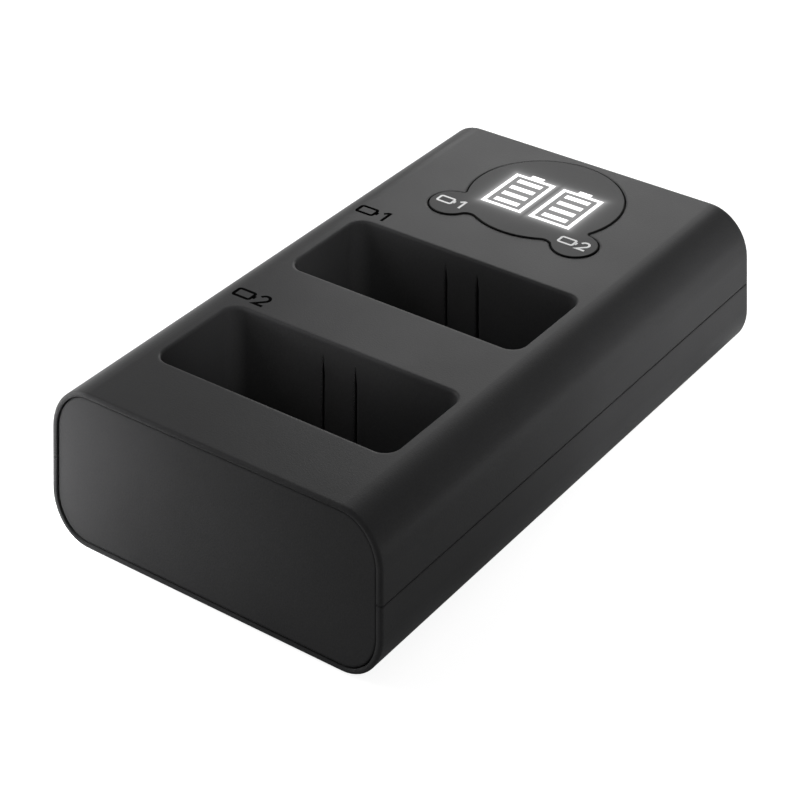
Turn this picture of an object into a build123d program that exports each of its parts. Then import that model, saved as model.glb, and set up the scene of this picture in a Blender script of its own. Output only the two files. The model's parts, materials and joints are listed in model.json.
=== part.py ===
from build123d import *
import math
import os

# A two-slot camera battery charger, in millimetres. The origin is on the table under the middle
# of the case. +X runs across the case, +Y along it towards the display, and +Z is up.

# Battery pockets, for a flat camera battery of 36.4 x 15.7 mm that drops in on its end
POCKET_LENGTH = 37.0
POCKET_WIDTH = 15.9
POCKET_DEPTH = 13.4
POCKET_CORNER = 2.2
POCKET_RIM = 0.3
POCKET_WALL = 1.2
POCKET_FLOOR = 1.2
POCKET_BRIDGE = 11.95
POCKET_NAMES = ("front", "rear")

# Springy tongue in the rear wall of each pocket, freed by two slits and a slot under it
TONGUE_X = -0.9
TONGUE_WIDTH = 4.75
TONGUE_ROOT = 1.8
TONGUE_LIFT = 0.8
SLIT_WIDTH = 0.45
SLIT_TAPER = 2.4
RIDGE_RADIUS = 0.35
RIDGE_HEIGHT = 1.3
RIDGE_END_GAP = 0.3

# Case
SIDE_MARGIN = 7.05
FRONT_MARGIN = 11.25
DISPLAY_BAY = 32.9
EDGE_RADIUS = 5.8
WALL = 1.6
SEAM_HEIGHT = 9.6
SEAM_LIP = 0.7
SEAM_LIP_HEIGHT = 1.2
SEAM_FIT = 0.1
SEAM_GROOVE_HEIGHT = 0.14
SEAM_GROOVE_DEPTH = 0.2
MOUTH_LIP_SIDE = 0.8
MOUTH_LIP_TOP = 0.5
MOUTH_CORNER = 5.2
MOUTH_RADIUS = 0.35

# End plates, set a little back in the mouths of the case
PLATE_THICKNESS = 1.4
PLATE_RECESS = 0.2
PLATE_GAP = 0.12
PLATE_EDGE = 0.12
PLATE_RIM_LENGTH = 1.2
PLATE_RIM_WALL = 1.0
PLATE_RIM_FIT = 0.1

# Display window: one disc with two lobes
WINDOW_RADIUS = 11.3
WINDOW_MARGIN = 1.7
WINDOW_THICKNESS = 1.1
WINDOW_PROUD = 0.15
WINDOW_GAP = 0.2
WINDOW_EDGE = 0.12
LOBE_RADIUS = 3.3
LOBE_X = 10.25
LOBE_SETBACK = 8.65
LOBE_JOIN_INNER = 1.6
LOBE_JOIN_OUTER = 0.5

# Lit battery signs let into the window
SIGN_WIDTH = 6.75
SIGN_HEIGHT = 9.6
SIGN_SPACING = 1.3
SIGN_SETBACK = 0.85
SIGN_STROKE = 0.65
SIGN_DEPTH = 0.5
SIGN_FIT = 0.02
NUB_WIDTH = 2.15
NUB_HEIGHT = 0.75
BAR_COUNT = 4
BAR_WIDTH = 4.05
BAR_HEIGHT = 1.05
BAR_PITCH = 2.02

# Light box, display board and light diodes under the window
LIGHT_BOX_HEIGHT = 4.0
LIGHT_BOX_WALL = 0.9
LIGHT_BOX_WEB = 0.5
LIGHT_BOX_GAP = 0.3
DISPLAY_BOARD_THICKNESS = 1.0
DISPLAY_BOARD_EDGE = 2.2
DISPLAY_POST_DIAMETER = 3.6
DISPLAY_POST_GAP = 0.6
DISPLAY_SCREW_LENGTH = 3.4
DISPLAY_SCREW_CORE = 1.3
DISPLAY_SCREW_HEAD = 2.6
DISPLAY_SCREW_HEAD_HEIGHT = 0.9
DIODE_LENGTH = 1.6
DIODE_WIDTH = 0.8
DIODE_HEIGHT = 0.6
DIODE_CHAMFER = 0.12

# Main board
BOARD_LIFT = 1.2
BOARD_THICKNESS = 1.0
BOARD_POCKET_GAP = 0.7
BOARD_SIDE_GAP = 0.4
BOARD_END_GAP = 0.3
BOARD_CORNER = 1.0
STANDOFF_DIAMETER = 3.4
STANDOFF_INSET = 3.5
PEG_DIAMETER = 1.8
PEG_FIT = 0.1

# Sockets and pins between the two boards
LINK_COUNT = 4
LINK_PITCH = 2.54
LINK_PIN = 0.64
LINK_PIN_FIT = 0.04
LINK_PIN_END = 0.5
LINK_DEPTH = 2.5
LINK_SOCKET_HEIGHT = 8.5
LINK_PLUNGE = 5.5

# Parts soldered to the main board
CHIP_SIZE = 5.0
CHIP_HEIGHT = 0.9
CHIP_X = 9.0
CHIP_FROM_REAR = 14.0
CHIP_DIMPLE = 0.5
CHIP_DIMPLE_INSET = 1.0
CHIP_DIMPLE_DEPTH = 0.1
INDUCTOR_SIZE = 6.0
INDUCTOR_HEIGHT = 3.0
INDUCTOR_CORNER = 1.2
INDUCTOR_CORE = 4.2
INDUCTOR_CORE_DEPTH = 0.3
INDUCTOR_FROM_REAR = 23.5
CAPACITOR_LENGTH = 3.2
CAPACITOR_WIDTH = 1.6
CAPACITOR_HEIGHT = 1.6
CAPACITOR_EDGE = 0.2
CAPACITOR_X = 15.5
CAPACITOR_PITCH = 5.0

# USB-C inlet
USB_WIDTH = 8.94
USB_HEIGHT = 3.26
USB_LENGTH = 7.35
USB_SHELL = 0.3
USB_SETBACK = 0.3
USB_GAP = 0.25
USB_CHAMFER = 0.3
USB_BASE_LENGTH = 2.4
USB_FIT = 0.03
USB_TONGUE_WIDTH = 6.69
USB_TONGUE_THICKNESS = 0.7
USB_TONGUE_SETBACK = 0.5
USB_LEG_LENGTH = 1.2
USB_LEG_INSET = 1.5
USB_LEG_END = 0.4
USB_LEG_FIT = 0.1

# Spring contacts in the pocket floors
CONTACT_COUNT = 3
CONTACT_PITCH = 4.0
CONTACT_X = -9.0
CONTACT_WIDTH = 1.6
CONTACT_STRIP = 0.25
CONTACT_RISE = 2.0
CONTACT_FOOT = 1.7
CONTACT_BEND = 0.5
CONTACT_LEAN = 1.4
CONTACT_TAIL = 2.0
CONTACT_TAIL_LIFT = 0.8
CONTACT_GAP = 0.35

# Case screws and the bosses that they join
BOSS_DIAMETER = 5.4
BOSS_FROM_SIDE = 9.0
BOSS_FROM_REAR = 8.0
SCREW_LENGTH = 8.0
SCREW_CORE = 1.7
SCREW_FIT = 0.03
SCREW_PASS_GAP = 0.3
SCREW_HEAD = 3.6
SCREW_HEAD_HEIGHT = 1.2
SCREW_HEAD_EDGE = 0.3
SCREW_WELL_DEPTH = 1.5
SCREW_WELL_GAP = 0.25
PILOT_SPARE = 0.8

# Rubber feet
FOOT_DIAMETER = 7.0
FOOT_PROUD = 0.5
FOOT_RECESS = 0.5
FOOT_GAP = 0.1
FOOT_EDGE = 0.25
FOOT_FROM_SIDE = 10.5
FOOT_FROM_END = 15.0

# Reach of a cutter past the face that it opens
PAST = 1.0

# Places worked out from the sizes above
BODY_WIDTH = POCKET_LENGTH + 2 * SIDE_MARGIN
BODY_LENGTH = FRONT_MARGIN + 2 * POCKET_WIDTH + POCKET_BRIDGE + DISPLAY_BAY
FRONT_Y = -BODY_LENGTH / 2
REAR_Y = BODY_LENGTH / 2
BASE_Z = FOOT_PROUD
INNER_FLOOR_Z = BASE_Z + WALL
BOARD_Z = INNER_FLOOR_Z + BOARD_LIFT
BOARD_TOP_Z = BOARD_Z + BOARD_THICKNESS
WELL_Z = BOARD_TOP_Z + BOARD_POCKET_GAP
POCKET_Z = WELL_Z + POCKET_FLOOR
TOP_Z = POCKET_Z + POCKET_DEPTH
BODY_HEIGHT = TOP_Z - BASE_Z
MIDDLE_Z = (TOP_Z + BASE_Z) / 2
INNER_TOP_Z = TOP_Z - WALL
SEAM_Z = BASE_Z + SEAM_HEIGHT
MOUTH_DEPTH = PLATE_RECESS + PLATE_THICKNESS

POCKET_PITCH = POCKET_WIDTH + POCKET_BRIDGE
FIRST_POCKET_Y = FRONT_Y + FRONT_MARGIN + POCKET_WIDTH / 2
POCKET_Y = [FIRST_POCKET_Y + row * POCKET_PITCH for row in range(len(POCKET_NAMES))]
FIRST_CONTACT_X = CONTACT_X - (CONTACT_COUNT - 1) / 2 * CONTACT_PITCH
CONTACT_PLACES = [FIRST_CONTACT_X + place * CONTACT_PITCH for place in range(CONTACT_COUNT)]

WINDOW_Y = REAR_Y - WINDOW_MARGIN - WINDOW_RADIUS
WINDOW_TOP_Z = TOP_Z + WINDOW_PROUD
WINDOW_SEAT_Z = WINDOW_TOP_Z - WINDOW_THICKNESS
SIGN_Y = WINDOW_Y - SIGN_SETBACK
SIGN_X = (SIGN_SPACING + SIGN_WIDTH) / 2
LIGHT_BOX_WIDTH = SIGN_SPACING + 2 * SIGN_WIDTH + 2 * LIGHT_BOX_WALL
LIGHT_BOX_LENGTH = SIGN_HEIGHT + 2 * LIGHT_BOX_WALL
DISPLAY_BOARD_TOP_Z = WINDOW_SEAT_Z - LIGHT_BOX_HEIGHT
DISPLAY_BOARD_Z = DISPLAY_BOARD_TOP_Z - DISPLAY_BOARD_THICKNESS
DISPLAY_POST_X = LIGHT_BOX_WIDTH / 2 + LIGHT_BOX_GAP + DISPLAY_POST_GAP + DISPLAY_POST_DIAMETER / 2
LINK_Y = SIGN_Y - LIGHT_BOX_LENGTH / 2 - LINK_DEPTH / 2

INNER_RADIUS = EDGE_RADIUS - WALL
BOARD_DROP = max(INNER_RADIUS - BOARD_LIFT, 0)
BOARD_HALF = BODY_WIDTH / 2 - EDGE_RADIUS + math.sqrt(INNER_RADIUS**2 - BOARD_DROP**2) - BOARD_SIDE_GAP
BOARD_FRONT_Y = FRONT_Y + FRONT_MARGIN
BOARD_REAR_Y = REAR_Y - MOUTH_DEPTH - PLATE_RIM_LENGTH - BOARD_END_GAP

BOSS_X = BODY_WIDTH / 2 - BOSS_FROM_SIDE
BOSS_FRONT_Y = (FRONT_Y + MOUTH_DEPTH + PLATE_RIM_LENGTH + FRONT_Y + FRONT_MARGIN - POCKET_WALL) / 2
BOSS_REAR_Y = REAR_Y - BOSS_FROM_REAR
SCREW_SEAT_Z = BASE_Z + SCREW_WELL_DEPTH
FOOT_X = BODY_WIDTH / 2 - FOOT_FROM_SIDE
FOOT_Y = BODY_LENGTH / 2 - FOOT_FROM_END

USB_Z = BOARD_TOP_Z + USB_HEIGHT / 2
USB_MOUTH_Y = REAR_Y - PLATE_RECESS - USB_SETBACK
USB_BACK_Y = USB_MOUTH_Y - USB_LENGTH
USB_LEG_PLACES = (USB_BACK_Y + USB_LEG_INSET, BOARD_REAR_Y - USB_LEG_INSET)

SIDES = (("left", -1), ("right", 1))


def upright(section, z_from, z_to):
    """Carry a plan drawn in X and Y from one height to another."""
    return extrude(Pos(0, 0, z_from) * section, z_to - z_from)


def along(section, y_from, y_to):
    """Carry a section drawn in X and Z from one place along the case to another."""
    return extrude(Plane((0, y_to, 0), x_dir=(1, 0, 0), z_dir=(0, -1, 0)) * section, y_to - y_from)


def case_section(inset):
    """Cross section of the case, drawn in from its outer face by an inset."""
    outline = RectangleRounded(BODY_WIDTH - 2 * inset, BODY_HEIGHT - 2 * inset, EDGE_RADIUS - inset)
    return Pos(0, MIDDLE_Z) * outline


def slab(z_from, z_to):
    """A block wider and longer than the case, to take one layer of it."""
    return upright(Rectangle(BODY_WIDTH + 2 * PAST, BODY_LENGTH + 2 * PAST), z_from, z_to)


def mouth_section(inset):
    """Cross section of the mouths that take the end plates, drawn in by an inset."""
    width = BODY_WIDTH - 2 * MOUTH_LIP_SIDE - 2 * inset
    height = BODY_HEIGHT - 2 * MOUTH_LIP_TOP - 2 * inset
    return Pos(0, MIDDLE_Z) * RectangleRounded(width, height, MOUTH_CORNER - inset)


def case_block():
    """The outer form of the case, with rounded mouths."""
    block = along(case_section(0), FRONT_Y, REAR_Y)
    rounding = min(MOUTH_RADIUS, 0.9 * MOUTH_LIP_TOP, 0.9 * MOUTH_LIP_SIDE)
    return fillet(block.faces().filter_by(Axis.Y).edges(), rounding)


def case_hollow():
    """The inside of the case, with a step in each mouth that the end plate seats on."""
    hollow = along(case_section(WALL), FRONT_Y - PAST, REAR_Y + PAST)
    hollow += along(mouth_section(0), FRONT_Y - PAST, FRONT_Y + MOUTH_DEPTH)
    hollow += along(mouth_section(0), REAR_Y - MOUTH_DEPTH, REAR_Y + PAST)
    return hollow


def boss_places(y):
    """The left and right case bosses at one end."""
    return [Pos(-BOSS_X, y), Pos(BOSS_X, y)]


def column(place, diameter, z_from, z_to):
    """A round post or bore at a place in the plan."""
    return upright(place * Circle(diameter / 2), z_from, z_to)


def pocket_plan(y, grow):
    """Plan of one battery pocket, grown outwards by the pocket wall where asked."""
    plan = RectangleRounded(POCKET_LENGTH + 2 * grow, POCKET_WIDTH + 2 * grow, POCKET_CORNER + grow)
    return Pos(0, y) * plan


def tongue_slits(y):
    """Two pointed slits and the slot under the tongue, cut through the rear wall of a pocket."""
    top = TOP_Z - TONGUE_ROOT
    half = SLIT_WIDTH / 2
    cut = Pos(TONGUE_X, POCKET_Z + TONGUE_LIFT / 2) * Rectangle(TONGUE_WIDTH + 2 * SLIT_WIDTH, TONGUE_LIFT)
    for side in (-1, 1):
        x = TONGUE_X + side * (TONGUE_WIDTH + SLIT_WIDTH) / 2
        corners = [
            (x, top),
            (x + half, top - SLIT_TAPER),
            (x + half, POCKET_Z),
            (x - half, POCKET_Z),
            (x - half, top - SLIT_TAPER),
        ]
        cut += make_face(Polyline(*corners, close=True))
    wall_y = y + POCKET_WIDTH / 2
    return along(cut, wall_y - RIDGE_RADIUS, wall_y + POCKET_WALL + PAST)


def tongue_ridge(y):
    """The round ridge across the tongue that presses on the battery."""
    ridge = Cylinder(RIDGE_RADIUS, TONGUE_WIDTH - 2 * RIDGE_END_GAP, rotation=(0, 90, 0))
    return Pos(TONGUE_X, y + POCKET_WIDTH / 2, POCKET_Z + RIDGE_HEIGHT) * ridge


def contact_slots(y):
    """Openings in the floor of a pocket for its spring contacts."""
    front = -CONTACT_LEAN - CONTACT_GAP
    rear = CONTACT_TAIL + CONTACT_GAP
    slot = Rectangle(CONTACT_WIDTH + 2 * CONTACT_GAP, rear - front)
    slots = [Pos(x, y + (front + rear) / 2) * slot for x in CONTACT_PLACES]
    return upright(Sketch() + slots, WELL_Z - PAST, POCKET_Z + PAST)


def window_outline(grow):
    """Disc and two lobes joined by small hollow arcs, grown outwards by a gap where asked."""
    lobes = [Pos(side * LOBE_X, -LOBE_SETBACK) * Circle(LOBE_RADIUS + grow) for side in (-1, 1)]
    outline = Circle(WINDOW_RADIUS + grow) + lobes
    lobe_line = Vector(LOBE_X, -LOBE_SETBACK)
    for is_outer, radius in ((False, LOBE_JOIN_INNER), (True, LOBE_JOIN_OUTER)):
        corners = []
        for corner in outline.vertices():
            mirrored = Vector(abs(corner.X), corner.Y)
            on_lobe = abs((mirrored - lobe_line).length - LOBE_RADIUS - grow) < 1e-4
            on_disc = abs(mirrored.length - WINDOW_RADIUS - grow) < 1e-4
            outside = mirrored.X * LOBE_SETBACK + mirrored.Y * LOBE_X > 0
            if on_lobe and on_disc and outside == is_outer:
                corners.append(corner)
        outline = fillet(corners, max(radius - grow, 0.1 * radius))
    return Pos(0, WINDOW_Y) * outline


def sign_plan(side, grow):
    """One battery sign: an outline with a nub, and four bars."""
    nub_y = (SIGN_HEIGHT + NUB_HEIGHT) / 2
    frame = Rectangle(SIGN_WIDTH + 2 * grow, SIGN_HEIGHT + 2 * grow)
    frame += Pos(0, nub_y) * Rectangle(NUB_WIDTH + 2 * grow, NUB_HEIGHT + 2 * grow)
    frame -= Rectangle(SIGN_WIDTH - 2 * SIGN_STROKE - 2 * grow, SIGN_HEIGHT - 2 * SIGN_STROKE - 2 * grow)
    bar = Rectangle(BAR_WIDTH + 2 * grow, BAR_HEIGHT + 2 * grow)
    bars = [Pos(0, (place - (BAR_COUNT - 1) / 2) * BAR_PITCH) * bar for place in range(BAR_COUNT)]
    return Pos(side * SIGN_X, SIGN_Y) * (frame + bars)


def light_box_plan(grow):
    """Plan of the light box, grown outwards by a gap where asked."""
    return Pos(0, SIGN_Y) * Rectangle(LIGHT_BOX_WIDTH + 2 * grow, LIGHT_BOX_LENGTH + 2 * grow)


def link_places():
    """The pins between the two boards, in a row across the case."""
    return [Pos((place - (LINK_COUNT - 1) / 2) * LINK_PITCH, LINK_Y) for place in range(LINK_COUNT)]


def top_cover():
    """Upper half shell with the battery pockets, the window recess and the screw bosses."""
    cover = case_block() & slab(SEAM_Z, TOP_Z + PAST)
    cover -= case_hollow()
    lip_room = along(case_section(WALL - SEAM_LIP - SEAM_FIT), FRONT_Y - PAST, REAR_Y + PAST)
    cover -= lip_room & slab(SEAM_Z, SEAM_Z + SEAM_LIP_HEIGHT + SEAM_FIT)
    for y in POCKET_Y:
        cover += upright(pocket_plan(y, POCKET_WALL), WELL_Z, INNER_TOP_Z + WALL / 2)
        cover -= upright(pocket_plan(y, 0), POCKET_Z, TOP_Z + PAST)
    rims = cover.faces().filter_by(Axis.Z).group_by(Axis.Z)[-1].face().inner_wires()
    cover = fillet([edge for rim in rims for edge in rim.edges()], POCKET_RIM)
    for y in POCKET_Y:
        cover -= tongue_slits(y)
        cover += tongue_ridge(y)
        cover -= contact_slots(y)
    for place in boss_places(BOSS_FRONT_Y) + boss_places(BOSS_REAR_Y):
        cover += column(place, BOSS_DIAMETER, BOARD_TOP_Z, INNER_TOP_Z + WALL / 2)
        pilot_top = SCREW_SEAT_Z + SCREW_LENGTH + PILOT_SPARE
        cover -= column(place, SCREW_CORE + 2 * SCREW_FIT, BOARD_TOP_Z - PAST, pilot_top)
    cover -= upright(window_outline(WINDOW_GAP), WINDOW_SEAT_Z, TOP_Z + PAST)
    cover -= upright(light_box_plan(LIGHT_BOX_GAP), INNER_TOP_Z - PAST, TOP_Z)
    for side in (-1, 1):
        place = Pos(side * DISPLAY_POST_X, SIGN_Y)
        post = column(place, DISPLAY_POST_DIAMETER, DISPLAY_BOARD_TOP_Z, INNER_TOP_Z)
        pilot_top = DISPLAY_BOARD_Z + DISPLAY_SCREW_LENGTH + SCREW_FIT
        cover += post - column(place, DISPLAY_SCREW_CORE + 2 * SCREW_FIT, DISPLAY_BOARD_TOP_Z, pilot_top)
    return cover


def board_supports():
    """Places of the standoffs under the main board; the front pair also locates it by pegs."""
    x = BOARD_HALF - STANDOFF_INSET
    rows = (BOARD_FRONT_Y + STANDOFF_INSET, (POCKET_Y[0] + POCKET_Y[1]) / 2)
    return [(side * x, y) for y in rows for side in (-1, 1)]


def bottom_cover():
    """Lower half shell with the seam lip, screw bosses, board standoffs and foot recesses."""
    cover = case_block() & slab(BASE_Z - PAST, SEAM_Z)
    cover -= case_hollow()
    groove = slab(SEAM_Z - SEAM_GROOVE_HEIGHT, SEAM_Z + PAST)
    kept = Rectangle(BODY_WIDTH - 2 * SEAM_GROOVE_DEPTH, BODY_LENGTH - 2 * SEAM_GROOVE_DEPTH)
    cover -= groove - upright(kept, BASE_Z, SEAM_Z + 2 * PAST)
    lip_from = FRONT_Y + MOUTH_DEPTH + SEAM_FIT
    lip = along(case_section(WALL - SEAM_LIP) - case_section(WALL), lip_from, -lip_from)
    cover += lip & slab(SEAM_Z, SEAM_Z + SEAM_LIP_HEIGHT)
    for y, boss_top in ((BOSS_FRONT_Y, BOARD_TOP_Z), (BOSS_REAR_Y, BOARD_Z)):
        for place in boss_places(y):
            cover += column(place, BOSS_DIAMETER, INNER_FLOOR_Z - WALL / 2, boss_top)
            cover -= column(place, SCREW_CORE + 2 * SCREW_PASS_GAP, BASE_Z - PAST, boss_top + PAST)
            cover -= column(place, SCREW_HEAD + 2 * SCREW_WELL_GAP, BASE_Z - PAST, SCREW_SEAT_Z)
    for x, y in board_supports():
        cover += column(Pos(x, y), STANDOFF_DIAMETER, INNER_FLOOR_Z - WALL / 2, BOARD_Z)
    for x, y in board_supports()[:2]:
        cover += column(Pos(x, y), PEG_DIAMETER, BOARD_Z - BOARD_LIFT, BOARD_TOP_Z)
    for x in (-FOOT_X, FOOT_X):
        for y in (-FOOT_Y, FOOT_Y):
            cover -= column(Pos(x, y), FOOT_DIAMETER + 2 * FOOT_GAP, BASE_Z - PAST, BASE_Z + FOOT_RECESS)
    return cover


def end_plate(outer_y, facing):
    """A flat end plate with a locating rim on its inner side; facing is +1 at the rear, -1 in front."""
    panel_inner = outer_y - facing * PLATE_THICKNESS
    rim_inner = panel_inner - facing * PLATE_RIM_LENGTH
    panel = along(mouth_section(PLATE_GAP), min(outer_y, panel_inner), max(outer_y, panel_inner))
    outer_face = panel.faces().sort_by(Axis.Y)[-1 if facing > 0 else 0]
    panel = chamfer(outer_face.edges(), PLATE_EDGE)
    rim_inset = WALL + PLATE_RIM_FIT
    rim = case_section(rim_inset) - case_section(rim_inset + PLATE_RIM_WALL)
    return panel + along(rim, min(panel_inner, rim_inner), max(panel_inner, rim_inner))


def rear_end_plate():
    """End plate with the flared opening for the USB-C inlet."""
    outer_y = REAR_Y - PLATE_RECESS
    plate = end_plate(outer_y, 1)
    opening = SlotOverall(USB_WIDTH + 2 * USB_GAP, USB_HEIGHT + 2 * USB_GAP)
    plate -= along(Pos(0, USB_Z) * opening, outer_y - PLATE_THICKNESS - PAST, outer_y + PAST)
    mouth = plate.faces().sort_by(Axis.Y)[-1].inner_wires()[0]
    return chamfer(mouth.edges(), USB_CHAMFER)


def display_window():
    """Dark window plate with shallow grooves for the two battery signs."""
    window = upright(window_outline(0), WINDOW_SEAT_Z, WINDOW_TOP_Z)
    window = chamfer(window.faces().sort_by(Axis.Z)[-1].edges(), WINDOW_EDGE)
    for _, side in SIDES:
        window -= upright(sign_plan(side, SIGN_FIT), WINDOW_TOP_Z - SIGN_DEPTH, WINDOW_TOP_Z + PAST)
    return window


def battery_sign(side):
    """Clear white light guides that fill the grooves of one sign."""
    return upright(sign_plan(side, 0), WINDOW_TOP_Z - SIGN_DEPTH, WINDOW_TOP_Z)


def sign_cells():
    """One light cell behind each bar: its name, place, width and length."""
    width = SIGN_WIDTH - LIGHT_BOX_WEB
    pitch = SIGN_HEIGHT / BAR_COUNT
    cells = []
    for name, side in SIDES:
        for row in range(BAR_COUNT):
            y = SIGN_Y + (row - (BAR_COUNT - 1) / 2) * pitch
            cells.append((f"{name}_{row + 1}", Pos(side * SIGN_X, y), width, pitch - LIGHT_BOX_WEB))
    return cells


def light_box():
    """White block of open cells that keeps the light of each bar apart."""
    box = upright(light_box_plan(0), DISPLAY_BOARD_TOP_Z, WINDOW_SEAT_Z)
    for _, place, width, length in sign_cells():
        box -= upright(place * Rectangle(width, length), DISPLAY_BOARD_TOP_Z - PAST, WINDOW_SEAT_Z + PAST)
    return box


def light_diode(place):
    """A small light diode with its lens side up."""
    plan = place * Rectangle(DIODE_LENGTH, DIODE_WIDTH)
    body = upright(plan, DISPLAY_BOARD_TOP_Z, DISPLAY_BOARD_TOP_Z + DIODE_HEIGHT)
    return chamfer(body.faces().sort_by(Axis.Z)[-1].edges(), DIODE_CHAMFER)


def display_board():
    """Board that carries the diodes, screwed to two posts under the top cover."""
    half = DISPLAY_POST_X + DISPLAY_BOARD_EDGE
    front = LINK_Y - DISPLAY_BOARD_EDGE
    rear = SIGN_Y + LIGHT_BOX_LENGTH / 2 + LIGHT_BOX_GAP
    plan = Pos(0, (front + rear) / 2) * RectangleRounded(2 * half, rear - front, BOARD_CORNER)
    pass_radius = DISPLAY_SCREW_CORE / 2 + SCREW_PASS_GAP
    plan -= [Pos(side * DISPLAY_POST_X, SIGN_Y) * Circle(pass_radius) for side in (-1, 1)]
    hole = LINK_PIN + 2 * LINK_PIN_FIT
    plan -= [place * Rectangle(hole, hole) for place in link_places()]
    return upright(plan, DISPLAY_BOARD_Z, DISPLAY_BOARD_TOP_Z)


def pan_screw(place, seat_z, length, core, head, head_height):
    """A pan-head screw pointing up: its thread is the plain core, and its tip is a cone."""
    shank_top = seat_z + length
    profile = make_face(
        Polyline(
            (0, seat_z - head_height),
            (head / 2 - SCREW_HEAD_EDGE, seat_z - head_height),
            (head / 2, seat_z - head_height + SCREW_HEAD_EDGE),
            (head / 2, seat_z),
            (core / 2, seat_z),
            (core / 2, shank_top - core / 2),
            (0, shank_top),
            close=True,
        )
    )
    return place * revolve(Plane.XZ * profile, Axis.Z)


def case_screws():
    """Four screws that join the covers, their heads sunk in wells under the case."""
    size = (SCREW_LENGTH, SCREW_CORE, SCREW_HEAD, SCREW_HEAD_HEIGHT)
    places = boss_places(BOSS_FRONT_Y) + boss_places(BOSS_REAR_Y)
    return [pan_screw(place, SCREW_SEAT_Z, *size) for place in places]


def display_screws():
    """Two screws that hold the display board up to its posts."""
    size = (DISPLAY_SCREW_LENGTH, DISPLAY_SCREW_CORE, DISPLAY_SCREW_HEAD, DISPLAY_SCREW_HEAD_HEIGHT)
    return [pan_screw(Pos(side * DISPLAY_POST_X, SIGN_Y), DISPLAY_BOARD_Z, *size) for side in (-1, 1)]


def link_socket():
    """Tall socket strip on the main board, open at its top for the pins."""
    block = Pos(0, LINK_Y) * Rectangle(LINK_COUNT * LINK_PITCH, LINK_DEPTH)
    top = BOARD_TOP_Z + LINK_SOCKET_HEIGHT
    strip = upright(block, BOARD_TOP_Z, top)
    hole = LINK_PIN + 2 * LINK_PIN_FIT
    for place in link_places():
        strip -= upright(place * Rectangle(hole, hole), top - LINK_PLUNGE - LINK_PIN_FIT, top + PAST)
    return strip


def link_pins():
    """Square pins soldered in the display board that reach down into the socket."""
    low = BOARD_TOP_Z + LINK_SOCKET_HEIGHT - LINK_PLUNGE
    high = DISPLAY_BOARD_TOP_Z + LINK_PIN_END
    return [upright(place * Rectangle(LINK_PIN, LINK_PIN), low, high) for place in link_places()]


def main_board():
    """Board that lies under the pockets and carries the charging parts and the inlet."""
    length = BOARD_REAR_Y - BOARD_FRONT_Y
    plan = Pos(0, BOARD_FRONT_Y + length / 2) * RectangleRounded(2 * BOARD_HALF, length, BOARD_CORNER)
    plan -= [place * Circle(SCREW_CORE / 2 + SCREW_PASS_GAP) for place in boss_places(BOSS_REAR_Y)]
    plan -= [Pos(x, y) * Circle(PEG_DIAMETER / 2 + PEG_FIT) for x, y in board_supports()[:2]]
    leg_hole = Rectangle(USB_SHELL + 2 * USB_LEG_FIT, USB_LEG_LENGTH + 2 * USB_LEG_FIT)
    plan -= [Pos(x, y) * leg_hole for x, y in usb_legs()]
    return upright(plan, BOARD_Z, BOARD_TOP_Z)


def usb_legs():
    """Places of the four legs of the inlet shell."""
    x = (USB_WIDTH - USB_SHELL) / 2
    return [(side * x, y) for y in USB_LEG_PLACES for side in (-1, 1)]


def usb_socket_shell():
    """Folded metal sleeve of the inlet, with four legs through the board."""
    outer = SlotOverall(USB_WIDTH, USB_HEIGHT)
    inner = SlotOverall(USB_WIDTH - 2 * USB_SHELL, USB_HEIGHT - 2 * USB_SHELL)
    shell = along(Pos(0, USB_Z) * (outer - inner), USB_BACK_Y, USB_MOUTH_Y)
    for x, y in usb_legs():
        leg = Pos(x, y) * Rectangle(USB_SHELL, USB_LEG_LENGTH)
        shell += upright(leg, BOARD_Z - USB_LEG_END, USB_Z)
    return shell


def usb_socket_tongue():
    """Plastic base that closes the back of the sleeve, and the flat tongue that carries the contacts."""
    base = SlotOverall(USB_WIDTH - 2 * USB_SHELL - 2 * USB_FIT, USB_HEIGHT - 2 * USB_SHELL - 2 * USB_FIT)
    tongue = Rectangle(USB_TONGUE_WIDTH, USB_TONGUE_THICKNESS)
    insert = along(Pos(0, USB_Z) * base, USB_BACK_Y, USB_BACK_Y + USB_BASE_LENGTH)
    return insert + along(Pos(0, USB_Z) * tongue, USB_BACK_Y, USB_MOUTH_Y - USB_TONGUE_SETBACK)


def chip(x):
    """A flat leadless chip with a round mark at its first corner."""
    y = REAR_Y - CHIP_FROM_REAR
    top = BOARD_TOP_Z + CHIP_HEIGHT
    corner = CHIP_SIZE / 2 - CHIP_DIMPLE_INSET
    body = upright(Pos(x, y) * Rectangle(CHIP_SIZE, CHIP_SIZE), BOARD_TOP_Z, top)
    return body - column(Pos(x - corner, y + corner), CHIP_DIMPLE, top - CHIP_DIMPLE_DEPTH, top + PAST)


def inductor(x):
    """A shielded coil with rounded corners and a round core sunk in its top."""
    y = REAR_Y - INDUCTOR_FROM_REAR
    top = BOARD_TOP_Z + INDUCTOR_HEIGHT
    plan = Pos(x, y) * RectangleRounded(INDUCTOR_SIZE, INDUCTOR_SIZE, INDUCTOR_CORNER)
    body = upright(plan, BOARD_TOP_Z, top)
    return body - column(Pos(x, y), INDUCTOR_CORE, top - INDUCTOR_CORE_DEPTH, top + PAST)


def capacitor(x, row):
    """A block capacitor beside a charging chip."""
    y = REAR_Y - INDUCTOR_FROM_REAR + row * CAPACITOR_PITCH
    plan = Pos(x, y) * Rectangle(CAPACITOR_WIDTH, CAPACITOR_LENGTH)
    body = upright(plan, BOARD_TOP_Z, BOARD_TOP_Z + CAPACITOR_HEIGHT)
    return fillet(body.edges().filter_by(Axis.Y).group_by(Axis.Z)[-1], CAPACITOR_EDGE)


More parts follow.
